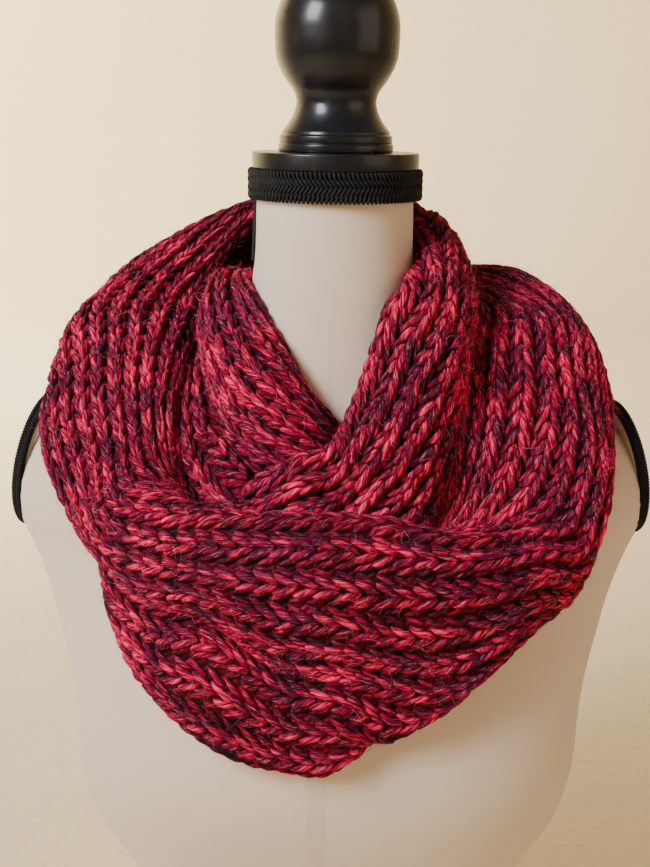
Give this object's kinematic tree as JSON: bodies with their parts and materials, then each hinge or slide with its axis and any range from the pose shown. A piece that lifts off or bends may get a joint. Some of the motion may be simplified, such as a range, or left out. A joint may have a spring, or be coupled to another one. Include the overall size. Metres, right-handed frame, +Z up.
{
  "type": "infinity scarf on a limbless dress form",
  "caption": "Chunky rib-knit loop scarf wound twice round the neck of a flat-based dress form with a turned wooden neck cap.",
  "frame": {"origin": "middle of the bounding box's floor, under the dress form's flat base", "axes": "+Z up the neck, the form's front faces -Y, +X is the viewer's right from the front"},
  "size_m": [0.444, 0.2952, 0.818],
  "materials": {
    "red_knit": "thick heathered wool knit in crimson, magenta and burgundy",
    "form_jersey": "tight cream jersey",
    "black_braid": "matt black braid",
    "black_wood": "satin black stain"
  },
  "bodies": {
    "root": {"outer_wrap": "red_knit", "over_strand": "red_knit", "under_strand": "red_knit", "tucked_fold": "red_knit", "form_torso": "form_jersey", "arm_plate_left": "form_jersey", "arm_plate_right": "form_jersey", "arm_trim_left": "black_braid", "arm_trim_right": "black_braid", "neck_braid": "black_braid", "neck_tape": "black_braid", "neck_disc": "black_wood", "finial": "black_wood"}
  },
  "joints": []
}
